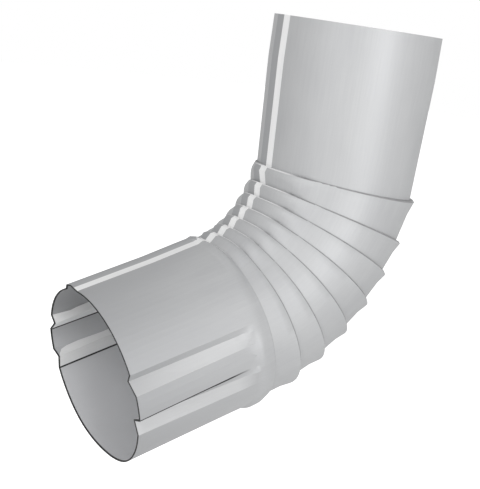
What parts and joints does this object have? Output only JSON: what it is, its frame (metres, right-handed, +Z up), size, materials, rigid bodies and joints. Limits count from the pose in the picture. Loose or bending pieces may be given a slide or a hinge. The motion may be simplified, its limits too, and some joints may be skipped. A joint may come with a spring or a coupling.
{
  "type": "downspout elbow",
  "caption": "Round sheet-metal downspout elbow with a pleated bend, a raised seam along the throat, a plain socket and a crimped, grooved spigot.",
  "frame": {"origin": "centre of the socket's mouth", "axes": "+Z up out of the socket, towards the pipe above; the bend turns towards -X in the XZ plane; the crimped spigot points down and away towards -X"},
  "size_m": [0.2168, 0.1018, 0.2484],
  "materials": {
    "sheet_metal": "smooth satin coat on steel sheet, light silver grey"
  },
  "bodies": {
    "root": {"elbow": "sheet_metal"}
  },
  "joints": []
}
